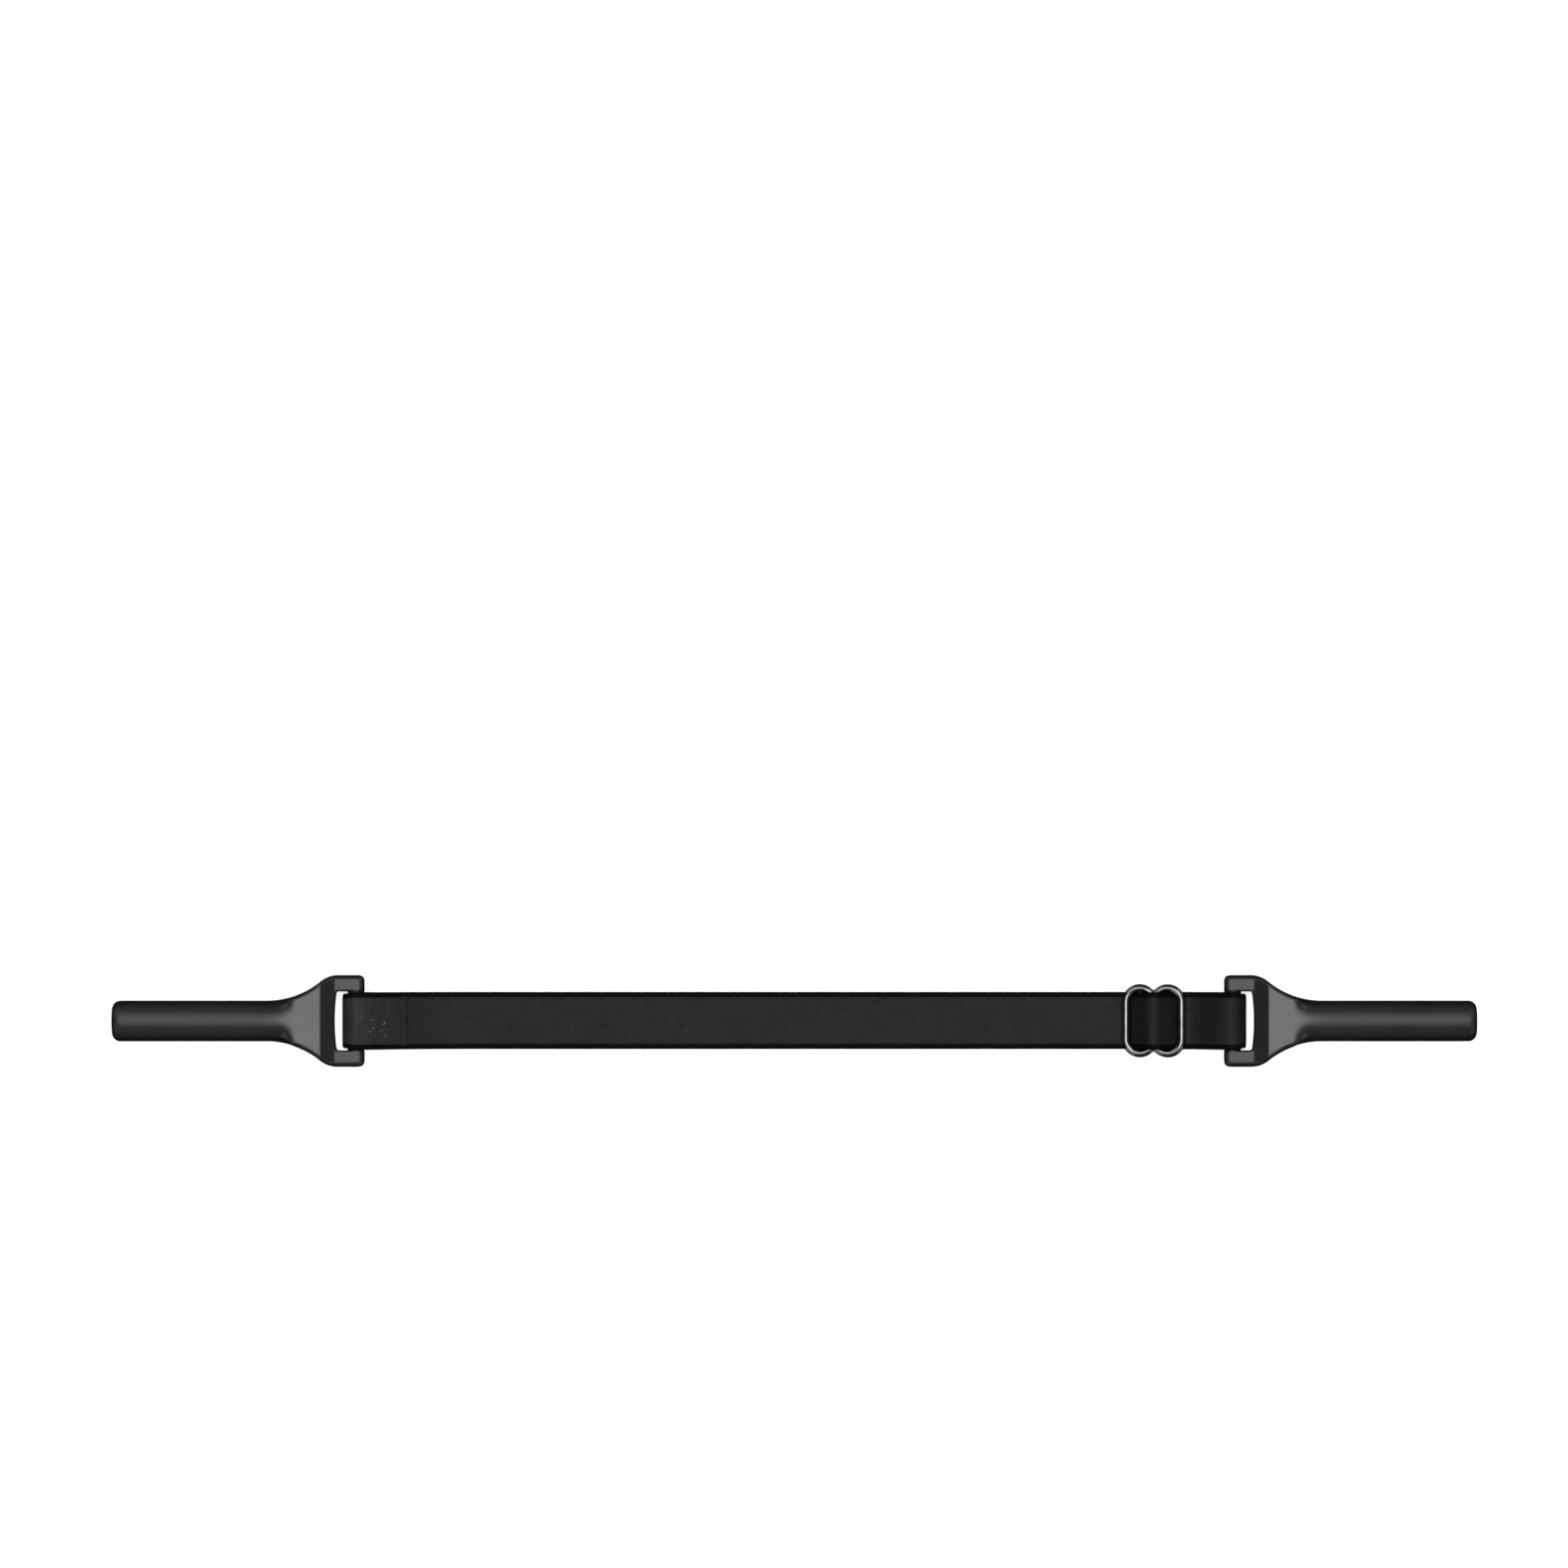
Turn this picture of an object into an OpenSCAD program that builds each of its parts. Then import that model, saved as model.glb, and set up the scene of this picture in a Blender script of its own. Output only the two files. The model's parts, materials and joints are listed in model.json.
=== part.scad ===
// Adjustable eyeglasses strap, laid flat: two silicone temple sleeves, one elastic band and a
// figure-8 slider. X runs along the strap, Y across it, and Z = 0 is the surface that it lies on.

/* [Strap] */
// Distance between the two sleeve bars at the longest setting
bar_span = 152.8; // [120:0.2:200]
// Distance from the slider's centre bar to the right sleeve's bar at the longest setting
slider_to_bar = 13.7; // [13.4:0.1:20]

/* [Band] */
// Width of the band
band_w = 10; // [8:0.1:10]
// Thickness of the band
band_t = 0.8; // [0.5:0.05:0.85]
// Length over which the band comes down from a sleeve's bar to the surface
slope_l = 22; // [21:1:30]
// Length of the sewn tail at each end, measured from the bar that it goes round
tail_l = 10.5; // [10:0.5:11]

/* [Temple sleeve] */
// Length from the mouth to the bar's axis
sleeve_l = 42.5; // [36:0.5:60]
// Outer diameter of the tube
tube_d = 7.1; // [6.6:0.1:8]
// Diameter of the blind bore
bore_d = 4; // [3:0.1:4.6]
// Depth of the blind bore
bore_l = 27; // [15:1:27]
// Width of the tab
tab_w = 16; // [15:0.1:18]
// Thickness of the tab
tab_t = 3; // [2.8:0.1:3.4]
// Diameter of the bar that the band goes round
bar_d = 3; // [2.4:0.1:3]
// Length of the slot along the bar
slot_l = 10.3; // [10.3:0.1:11]
// Width of the slot
slot_w = 2.25; // [2.1:0.05:2.5]

/* [Slider] */
// Diameter of the slider's bars
wire_d = 1.4; // [1.2:0.1:1.5]
// Distance between the axes of neighbouring bars
bar_pitch = 4.9; // [4.4:0.05:5]
// Length of the slider across the strap
slider_l = 12.8; // [12.6:0.1:14]

/* [Hidden] */

SILICONE = "#4a4b4d";
ELASTIC = "#1f2023";
THREAD = "#333438";
METAL = "#5b5d60";

// Clearances: round a sleeve's bar, round the slider's bars, and between layers of band
bar_gap = 0.08;
wire_gap = 0.05;
layer_gap = 0.03;

// The sleeves lie on their tubes, so the bars are a tube radius above the surface
bar_z = tube_d / 2;
left_x = -bar_span / 2;
right_x = bar_span / 2;
fold_r = bar_d / 2 + bar_gap + band_t / 2;
flat_z = band_t / 2;
layer = band_t + layer_gap;

// Bar-tacks: blocks of thread through two layers, a little proud of both faces
tack_l = 1.2;
tack_w = 8.4;
tack_proud = 0.08;
left_tack_at = 7.7;
slider_tack_at = 6.6;

// The slider lies on one layer of band at its left bar and holds three under its right bar
wire_r = wire_d / 2;
pass_r = wire_r + wire_gap + band_t / 2;
tail_z = flat_z + tack_proud + 0.02;
slider_x = right_x - slider_to_bar;
low_z = flat_z + pass_r;
high_z = tail_z + 2 * layer + pass_r;
slider_tilt = asin((high_z - low_z) / (2 * bar_pitch));
wire_a = [slider_x - bar_pitch * cos(slider_tilt), low_z];
wire_b = [slider_x + bar_pitch * cos(slider_tilt), high_z];
wire_c = (wire_a + wire_b) / 2;

// Where one stretch of band ends and the next begins, from the slider's centre or from a bar
left_flat_l = 2;
through_left = 8;
through_right = 5.8;
loop_right = 9;
// The tail at the slider comes level just before the right bar and ends short of the left one's length
level_before = 0.4;
tail_short = 2;
// How strongly the left tail keeps its direction where it leaves the bar
tail_pull = 7;

// ---- Curves in the XZ plane ----

// Points on a circle, from one direction of travel to another. side = 1 passes over it, -1 under
function pass(c, r, from, to, side, n) = [
    for (i = [0:n]) let (a = from + (to - from) * i / n) c + side * r * [-sin(a), cos(a)]
];

// An S-shaped rise or fall that is level at both ends
function ease(p, q, n) = [
    for (i = [0:n]) let (t = i / n) [p[0] + (q[0] - p[0]) * t, p[1] + (q[1] - p[1]) * t * t * (3 - 2 * t)]
];

// Height of the band between a sleeve's bar and the surface, t = 0 at the bar
function droop(t) = flat_z + (bar_z + fold_r - flat_z) * pow(1 - t, 4) * (1 + 4 * t);

// A cubic from p to q that leaves along angle a and arrives along angle b
function cubic(p, a, q, b, pull, n) = [
    for (i = [0:n]) let (t = i / n)
        p * (1 + 2 * t) * pow(1 - t, 2) + q * t * t * (3 - 2 * t)
        + pull * [cos(a), sin(a)] * t * pow(1 - t, 2) - pull * [cos(b), sin(b)] * t * t * (1 - t)
];

// Unit normal to the left of the path at point i
function normal(p, i) =
    let (d = p[min(i + 1, len(p) - 1)] - p[max(i - 1, 0)]) [-d[1], d[0]] / norm(d);
function shifted(p, d) = [for (i = [0:len(p) - 1]) p[i] + d * normal(p, i)];
function reversed(p) = [for (i = [len(p) - 1:-1:0]) p[i]];
function rest(p) = [for (i = [1:len(p) - 1]) p[i]];
function slice(p, a, b) = [for (i = [a:b]) p[i]];

// ---- The band's centre line, from its left tail to the tail at the slider ----

function left_slope_at(u) = [left_x + u, droop(u / slope_l)];
left_slope = [for (i = [0:32]) left_slope_at(slope_l * i / 32)];
// The tail lies close under the slope from a little before the bar-tack
close_from = left_tack_at - 0.4;
left_under = shifted([for (i = [0:6]) left_slope_at(close_from + (tail_l - close_from) * i / 6)], -layer);
under_start = left_under[0];
under_step = left_under[1] - left_under[0];
left_tail = reversed(concat(
    cubic([left_x, bar_z - fold_r], 0, under_start, atan2(under_step[1], under_step[0]), tail_pull, 12),
    rest(left_under)
));
left_fold = pass([left_x, bar_z], fold_r, 180, 0, 1, 24);

// Directions of travel up to the slider's centre bar and down from it
up_a = slider_tilt + asin((2 * pass_r + layer) / bar_pitch);
down_a = slider_tilt - asin((2 * pass_r + layer) / bar_pitch);
through = concat(
    pass(wire_a, pass_r, 0, up_a, -1, 6),
    pass(wire_c, pass_r + layer, up_a, down_a, 1, 12),
    pass(wire_b, pass_r, down_a, 0, -1, 5)
);
upper_start = [slider_x + through_right, high_z - pass_r];
upper_slope = ease(upper_start, [right_x, bar_z + fold_r], 24);
right_fold = pass([right_x, bar_z], fold_r, 0, -180, 1, 24);
lower_start = [slider_x + loop_right, tail_z + layer];
lower_slope = ease([right_x, bar_z - fold_r], lower_start, 12);
loop = concat(
    pass(wire_b, pass_r + layer, 0, down_a, -1, 5),
    pass(wire_c, pass_r, down_a, 180, 1, 24),
    rest(ease([slider_x, wire_c[1] - pass_r], [slider_x + bar_pitch - level_before, tail_z], 8)),
    [[slider_x + tail_l - tail_short, tail_z]]
);

centre_line = concat(
    left_tail, rest(left_fold), rest(left_slope), [[left_x + slope_l + left_flat_l, flat_z]],
    [[slider_x - through_left, flat_z]], through, [upper_start],
    rest(upper_slope), rest(right_fold), rest(lower_slope), loop
);
end_left_loop = len(left_tail) + len(left_fold) + len(left_slope) - 2;
end_long_run = end_left_loop + 1;
end_through = end_long_run + len(through) + 1;
end_upper = end_through + len(upper_slope) - 4;
start_lower = end_through + len(upper_slope) + len(right_fold);
end_lower = start_lower + len(lower_slope) - 3;

left_face = shifted(centre_line, band_t / 2);
right_face = shifted(centre_line, -band_t / 2);

// A solid across the strap from an outline in the XZ plane
module across(width, outline)
    rotate([90, 0, 0]) translate([0, 0, -width / 2]) linear_extrude(width) polygon(outline);

// The band between two points of its centre line
module band(a, b)
    color(ELASTIC) across(band_w, concat(slice(left_face, a, b), reversed(slice(right_face, a, b))));

// Outline of a bar-tack between points p and q, from their upper face down through two layers
function tack_outline(p, q) =
    let (d = (q - p) / norm(q - p), n = [-d[1], d[0]], top = band_t / 2 + tack_proud, low = top + layer)
    [p + top * n, q + top * n, q - low * n, p - low * n];
left_tack = tack_outline(left_slope_at(left_tack_at), left_slope_at(left_tack_at + tack_l));
slider_tack = tack_outline(
    [slider_x + slider_tack_at, tail_z + layer], [slider_x + slider_tack_at + tack_l, tail_z + layer]
);

module left_bar_tack() color(THREAD) across(tack_w, left_tack);
module slider_bar_tack() color(THREAD) across(tack_w, slider_tack);

module band_left_loop() difference() {
    band(0, end_left_loop);
    left_bar_tack();
}
module band_long_run() band(end_left_loop, end_long_run);
module band_through_slider() difference() {
    band(end_long_run, end_through);
    bars(wire_r + wire_gap);
}
module band_upper_layer() band(end_through, end_upper);
module band_right_fold() band(end_upper, start_lower);
module band_lower_layer() band(start_lower, end_lower);
module band_slider_loop() difference() {
    band(end_lower, len(centre_line) - 1);
    slider_bar_tack();
    bars(wire_r + wire_gap);
}

// ---- Temple sleeve, with its bar along Y at the origin and its mouth towards -X ----

mouth_round = 1.4;
corner_round = 1.1;
flare_from = -15.6;
flare_to = -3.2;
flare_out_r = 4.5;
// The neck's outline is two arcs that touch: one curving out from the tube, one curving into the tab
flare_turn = 2 * atan((tab_w - tube_d) / 2 / (flare_to - flare_from));
flare_in_r = (flare_to - flare_from) / sin(flare_turn) - flare_out_r;
flare_join = flare_from + flare_in_r * sin(flare_turn);
tab_end = bar_d / 2;
slot_wall = -bar_d / 2 - slot_w;
facet_end = slot_wall - 2.3;
facet_h = 2.9;
// The round tube turns into the flat facet between these two
round_to = -12.8;
facet_from = -10.6;
edge_round = 0.75;

function half_width(x) =
    x < flare_join ? tube_d / 2 + flare_in_r - sqrt(pow(flare_in_r, 2) - pow(x - flare_from, 2))
    : x < flare_to ? tab_w / 2 - flare_out_r + sqrt(pow(flare_out_r, 2) - pow(flare_to - x, 2))
    : x < tab_end - corner_round ? tab_w / 2
    : tab_w / 2 - corner_round + sqrt(max(0, pow(corner_round, 2) - pow(x - tab_end + corner_round, 2)));
function half_height(x) =
    x < facet_end ? tube_d / 2 + (facet_h - tube_d / 2) * (x - flare_from) / (facet_end - flare_from)
    : x < slot_wall ? facet_h + (tab_t / 2 - facet_h) * (x - facet_end) / (slot_wall - facet_end)
    : tab_t / 2;
// A section goes from a circle at the tube to a rectangle with rounded corners at the facet
function turned(x) = let (t = max(0, min(1, (x - round_to) / (facet_from - round_to)))) t * t * (3 - 2 * t);
function corner_r(x) = tube_d / 2 + (edge_round - tube_d / 2) * turned(x);
// The first section sits just inside the end of the tube
function inset(x) = x == flare_from ? 0.03 : 0;
function corner(x, w, h, r) = [
    for (i = [0:corner_sides]) let (a = 90 * i / corner_sides) [x, w - r + r * cos(a), h - r + r * sin(a)]
];
function section(x) =
    let (
        w = half_width(x) - inset(x),
        h = half_height(x) - inset(x),
        r = min(corner_r(x), w, h) - 0.01,
        quarter = corner(x, w, h, r),
        back = reversed(quarter)
    )
    concat(
        quarter,
        [for (p = back) [x, -p[1], p[2]]],
        [for (p = quarter) [x, -p[1], -p[2]]],
        [for (p = back) [x, p[1], -p[2]]]
    );
corner_sides = 9;
section_x = concat(
    [flare_from, round_to],
    [for (i = [1:5]) round_to + (facet_from - round_to) * i / 6],
    [facet_from, (facet_from + facet_end) / 2, facet_end],
    [flare_to, tab_end - corner_round, tab_end - 0.5, tab_end - 0.15, tab_end]
);

module loft(xs) {
    n = len(section(xs[0]));
    m = len(xs);
    sides = [for (k = [0:m - 2], i = [0:n - 1]) [k * n + i, k * n + (i + 1) % n]];
    polyhedron(
        points = [for (x = xs) each section(x)],
        faces = concat(
            [[for (i = [0:n - 1]) i]],
            [for (s = sides) [s[0], s[0] + n, s[1] + n]],
            [for (s = sides) [s[0], s[1] + n, s[1]]],
            [[for (i = [n - 1:-1:0]) (m - 1) * n + i]]
        )
    );
}

module tube() {
    r = tube_d / 2;
    length = sleeve_l + flare_from;
    translate([-sleeve_l, 0, 0]) rotate([0, 90, 0]) rotate_extrude($fn = 96) {
        translate([0, mouth_round]) square([r, length - mouth_round]);
        square([r - mouth_round, length]);
        translate([r - mouth_round, mouth_round]) intersection() {
            circle(mouth_round, $fn = 48);
            translate([0, -mouth_round]) square(mouth_round);
        }
    }
}

module sleeve() color(SILICONE) {
    difference() {
        union() {
            tube();
            loft(section_x);
        }
        translate([slot_wall, -slot_l / 2, -tube_d]) cube([tab_end + tube_d, slot_l, 2 * tube_d]);
        translate([-sleeve_l - 1, 0, 0]) rotate([0, 90, 0]) cylinder(d = bore_d, h = bore_l + 1, $fn = 64);
    }
    rotate([90, 0, 0]) cylinder(d = bar_d, h = slot_l + 1, center = true, $fn = 64);
}

module left_temple_sleeve() translate([left_x, 0, bar_z]) sleeve();
module right_temple_sleeve() translate([right_x, 0, bar_z]) mirror([1, 0, 0]) sleeve();

// ---- Slider: two stadium loops of round bar that share the centre bar. The band gives way where
// the ends of the loops press into it, so the same bars, a little thicker, are cut from the band ----

module bars(r) {
    arc_r = bar_pitch / 2;
    arc_y = slider_l / 2 - arc_r - wire_r;
    translate([wire_c[0], 0, wire_c[1]]) rotate([0, -slider_tilt, 0]) {
        for (x = [-bar_pitch, 0, bar_pitch])
            translate([x, 0, 0]) rotate([90, 0, 0]) cylinder(r = r, h = 2 * arc_y, center = true, $fn = 32);
        for (x = [-arc_r, arc_r], end = [0, 180])
            rotate([0, 0, end]) translate([x, arc_y, 0]) rotate_extrude(angle = 180, $fn = 64)
                translate([arc_r, 0]) circle(r, $fn = 32);
    }
}

module slider() color(METAL) bars(wire_r);

left_temple_sleeve();
right_temple_sleeve();
slider();
band_left_loop();
band_long_run();
band_through_slider();
band_upper_layer();
band_right_fold();
band_lower_layer();
band_slider_loop();
left_bar_tack();
slider_bar_tack();
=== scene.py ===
"""Looks of the adjustable eyeglasses strap: silicone sleeves, elastic band, figure-8 slider and bar-tacks.

Lengths inside the shape functions are in millimetres in the row frame. MM turns them into metres.
"""
import json
import math
import random

import bpy
import numpy as np
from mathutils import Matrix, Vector


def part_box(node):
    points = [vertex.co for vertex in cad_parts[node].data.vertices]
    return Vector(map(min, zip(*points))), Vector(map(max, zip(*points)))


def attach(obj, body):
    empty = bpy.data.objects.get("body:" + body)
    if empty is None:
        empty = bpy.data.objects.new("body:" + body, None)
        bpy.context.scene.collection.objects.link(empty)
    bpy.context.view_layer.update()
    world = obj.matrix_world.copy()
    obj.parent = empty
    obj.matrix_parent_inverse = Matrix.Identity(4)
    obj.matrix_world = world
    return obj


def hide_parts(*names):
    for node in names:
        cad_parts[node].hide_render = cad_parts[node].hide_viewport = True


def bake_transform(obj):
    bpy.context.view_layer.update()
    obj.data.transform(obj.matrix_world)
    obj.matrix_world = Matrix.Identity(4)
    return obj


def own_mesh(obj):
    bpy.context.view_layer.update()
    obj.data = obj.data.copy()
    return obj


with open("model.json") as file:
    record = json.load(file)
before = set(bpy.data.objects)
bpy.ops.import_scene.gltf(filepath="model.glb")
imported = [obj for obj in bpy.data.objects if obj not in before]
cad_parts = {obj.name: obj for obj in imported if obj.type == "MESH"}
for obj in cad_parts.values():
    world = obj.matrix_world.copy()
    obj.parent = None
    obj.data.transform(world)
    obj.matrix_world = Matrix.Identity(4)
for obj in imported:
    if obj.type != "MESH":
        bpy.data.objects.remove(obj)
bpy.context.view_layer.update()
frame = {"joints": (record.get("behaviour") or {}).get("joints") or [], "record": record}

MM = 0.001
random.seed(7)


# ---------------------------------------------------------------- the frame's own sizes, in mm

def box_mm(node):
    low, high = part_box(node)
    return np.array(low) / MM, np.array(high) / MM


JOINTS = {j["name"]: j for j in frame["joints"]}
LEFT_BAR = np.array(JOINTS["left_sleeve_swing"]["pos_m"])[[0, 2]] / MM
RIGHT_BAR = np.array(JOINTS["right_sleeve_swing"]["pos_m"])[[0, 2]] / MM
BAND_LOW, BAND_HIGH = box_mm("band_long_run")
BAND_T = BAND_HIGH[2] - BAND_LOW[2]
BAND_HALF_W = BAND_HIGH[1]
SLEEVE_LOW, SLEEVE_HIGH = box_mm("left_temple_sleeve")
TUBE_R = RIGHT_BAR[1]
BORE_R = frame["record"]["mounts"][0]["dims"]["r_mm"]
BORE_L = frame["record"]["mounts"][0]["dims"]["length_mm"]
MOUTH = SLEEVE_LOW[0] - LEFT_BAR[0]
TAB_END = SLEEVE_HIGH[0] - LEFT_BAR[0]
TAB_HALF_W = 8.0
SLIDER_LOW, SLIDER_HIGH = box_mm("slider")

# Clearances and layers, as in the CAD model
BAR_R = TAB_END
BAR_GAP = 0.08
WIRE_R = 0.7
WIRE_GAP = 0.05
LAYER_GAP = 0.03
LAYER = BAND_T + LAYER_GAP
FLAT_Z = BAND_T / 2
FOLD_R = BAR_R + BAR_GAP + BAND_T / 2
PASS_R = WIRE_R + WIRE_GAP + BAND_T / 2
SLOPE_L = 22.0
TAIL_L = 10.5
LEFT_TACK_AT = 7.7
SLIDER_TACK_AT = 6.6
TACK_L = 1.2
TACK_HALF_W = 4.2
TACK_STITCHES = 26
TACK_PROUD = 0.08
TACK_GAP = 0.02
TAIL_Z = FLAT_Z + TACK_PROUD + TACK_GAP
BAR_PITCH = 4.9

# The slider's three bars, seen from the side: it is tilted, with its right bar over three layers of band
SLIDER_X = (SLIDER_LOW[0] + SLIDER_HIGH[0]) / 2
WIRE_A_Z = FLAT_Z + PASS_R
WIRE_B_Z = TAIL_Z + 2 * LAYER + PASS_R
TILT = math.asin((WIRE_B_Z - WIRE_A_Z) / (2 * BAR_PITCH))
WIRE_A = np.array([SLIDER_X - BAR_PITCH * math.cos(TILT), WIRE_A_Z])
WIRE_B = np.array([SLIDER_X + BAR_PITCH * math.cos(TILT), WIRE_B_Z])
WIRE_C = (WIRE_A + WIRE_B) / 2
ARC_R = BAR_PITCH / 2
ARC_Y = SLIDER_HIGH[1] - ARC_R - WIRE_R


# ---------------------------------------------------------------- meshes

def new_mesh(name, vertices_mm, faces):
    """A mesh object from points in millimetres."""
    mesh = bpy.data.meshes.new(name)
    vertices = [tuple(v) for v in np.asarray(vertices_mm) * MM]
    mesh.from_pydata(vertices, [], [tuple(map(int, f)) for f in faces])
    mesh.validate()
    mesh.polygons.foreach_set("use_smooth", [True] * len(mesh.polygons))
    obj = bpy.data.objects.new(name, mesh)
    bpy.context.scene.collection.objects.link(obj)
    return obj


def soft_min(a, b, k):
    """The nearer of two shapes, with a fillet about k wide where they meet."""
    h = np.clip(0.5 + 0.5 * (b - a) / k, 0, 1)
    return b + (a - b) * h - k * h * (1 - h)


def soft_max(a, b, k):
    """Where two shapes overlap, with an edge about k wide that is rounded."""
    return -soft_min(-a, -b, k)


def rounded(a, b, r):
    """Distance to a block with an edge of radius r. a and b are distances past the radius's centre."""
    return np.hypot(np.maximum(a, 0), np.maximum(b, 0)) + np.minimum(np.maximum(a, b), 0) - r


def surface(field, low, high, step):
    """Vertices and quads of the closed surface where field is 0, negative inside (surface nets)."""
    # the grid, a little larger than the shape on every side
    axes = [np.arange(lo - 1.5 * step, hi + 2.5 * step, step) for lo, hi in zip(low, high)]
    grid = np.stack(np.meshgrid(*axes, indexing="ij"), -1)
    value = field(grid.reshape(-1, 3)).reshape(grid.shape[:3])
    cells = tuple(n - 1 for n in value.shape)
    total, count, crossings = np.zeros(cells + (3,)), np.zeros(cells), []
    index = np.stack(np.meshgrid(*[np.arange(n) for n in value.shape], indexing="ij"), -1).astype(float)
    # where the surface crosses the grid's edges: each cell's vertex is the mean of its crossings
    for axis in range(3):
        here = [slice(None)] * 3
        there = [slice(None)] * 3
        here[axis], there[axis] = slice(0, -1), slice(1, None)
        a, b = value[tuple(here)], value[tuple(there)]
        crossed = (a < 0) != (b < 0)
        share = np.where(crossed, a / np.where(a == b, 1, a - b), 0)
        place = index[tuple(here)].copy()
        place[..., axis] += share
        crossings.append((crossed, a < 0))
        others = [k for k in range(3) if k != axis]
        for du in (0, 1):
            for dv in (0, 1):
                pick = [slice(None)] * 3
                for k, d in zip(others, (du, dv)):
                    pick[k] = slice(d, value.shape[k] - 1 + d)
                total += place[tuple(pick)] * crossed[tuple(pick)][..., None]
                count += crossed[tuple(pick)]
    used = count > 0
    number = np.full(cells, -1)
    number[used] = np.arange(used.sum())
    points = np.array([ax[0] for ax in axes]) + step * total[used] / count[used][:, None]
    # each crossed edge is the middle of one quad, between the four cells round it
    quads = []
    for axis, (crossed, inside) in enumerate(crossings):
        u, v = [k for k in range(3) if k != axis]
        at = np.argwhere(crossed)
        for k in (u, v):
            at = at[(at[:, k] > 0) & (at[:, k] < value.shape[k] - 1)]
        corner = []
        for du, dv in ((1, 1), (0, 1), (0, 0), (1, 0)):
            c = at.copy()
            c[:, u] -= du
            c[:, v] -= dv
            corner.append(number[tuple(c.T)])
        quad = np.stack(corner, 1)
        flip = inside[tuple(at.T)] == (axis == 1)
        quad[flip] = quad[flip][:, ::-1]
        quads.append(quad)
    # each vertex is slid onto the true surface, along the field's slope
    small, least_slope, furthest = 0.02 * step, 0.05, 0.4 * step
    for _ in range(3):
        rise = [field(points + e) - field(points - e) for e in small * np.eye(3)]
        slope = np.stack(rise, 1) / (2 * small)
        size = np.maximum((slope ** 2).sum(1), least_slope)
        move = (field(points) / size)[:, None] * slope
        points = points - np.clip(move, -furthest, furthest)
    return points, np.concatenate(quads)


# ---------------------------------------------------------------- temple sleeves

# X is measured from the sleeve's bar, with the mouth towards -X
MOUTH_ROUND = 1.4
FLARE_FROM, FLARE_TO, FLARE_OUT_R = -15.6, -3.2, 4.5
FLARE_TURN = 2 * math.atan((TAB_HALF_W - TUBE_R) / (FLARE_TO - FLARE_FROM))
FLARE_IN_R = (FLARE_TO - FLARE_FROM) / math.sin(FLARE_TURN) - FLARE_OUT_R
FLARE_JOIN = FLARE_FROM + FLARE_IN_R * math.sin(FLARE_TURN)
SLOT_W = 2.25
SLOT_WALL = -BAR_R - SLOT_W
SLOT_HALF_L = 5.15
SLOT_BOW = 0.35
SLOT_CORNER, SLOT_LIP = 0.5, 0.35
STEP_L = 2.3
FACET_END = SLOT_WALL - STEP_L
ROUND_TO, FACET_FROM = -13.4, -10.4
FACET_H = 2.9
TAB_H = 1.5
EDGE_R = 0.5
CHAMFER_W, CHAMFER_TILT, CHAMFER_SOFT = 0.55, math.radians(50), 0.25
CORNER_R, CORNER_SPARE, CORNER_SOFT = 1.6, 0.5, 0.5
BAR_INSET, BAR_ROOT, BAR_FILLET = 0.08, 0.3, 0.22
BORE_LIP = 0.5


def neck_half_width(x):
    """Two arcs that meet at FLARE_JOIN: one out from the tube, then one in to the tab's sides."""
    from_tube = np.sqrt(np.maximum(FLARE_IN_R ** 2 - np.maximum(x - FLARE_FROM, 0) ** 2, 0))
    to_tab = np.sqrt(np.maximum(FLARE_OUT_R ** 2 - np.maximum(FLARE_TO - x, 0) ** 2, 0))
    inner = TUBE_R + FLARE_IN_R - from_tube
    outer = TAB_HALF_W - FLARE_OUT_R + to_tab
    return np.where(x < FLARE_JOIN, inner, outer)


def neck_half_height(x):
    """The facet slopes gently from the tube, then a steeper step comes down to the thin tab."""
    places = [FLARE_FROM, FACET_END - 0.1, FACET_END + 0.1, SLOT_WALL, SLOT_WALL + 0.15]
    heights = [TUBE_R, FACET_H, FACET_H - 0.08, TAB_H + 0.07, TAB_H]
    return np.interp(x, places, heights)


def chamfered(side, top):
    """Distance to the chamfer between a side face and the top face, from the distances to those two."""
    return (side + CHAMFER_W) * math.sin(CHAMFER_TILT) + top * math.cos(CHAMFER_TILT)


def neck_section(x, y, z):
    """Distance to the neck's section: round where it leaves the tube, then a block with chamfered edges."""
    w, h = neck_half_width(x), neck_half_height(x)
    round_part = (np.hypot(y / w, z / h) - 1) * np.minimum(w, h)
    block = rounded(np.abs(y) - (w - EDGE_R), np.abs(z) - (h - EDGE_R), EDGE_R)
    block = soft_max(block, chamfered(np.abs(y) - w, np.abs(z) - h), CHAMFER_SOFT)
    t = np.clip((x - ROUND_TO) / (FACET_FROM - ROUND_TO), 0, 1)
    t = t * t * (3 - 2 * t)
    return round_part + (block - round_part) * t


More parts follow.
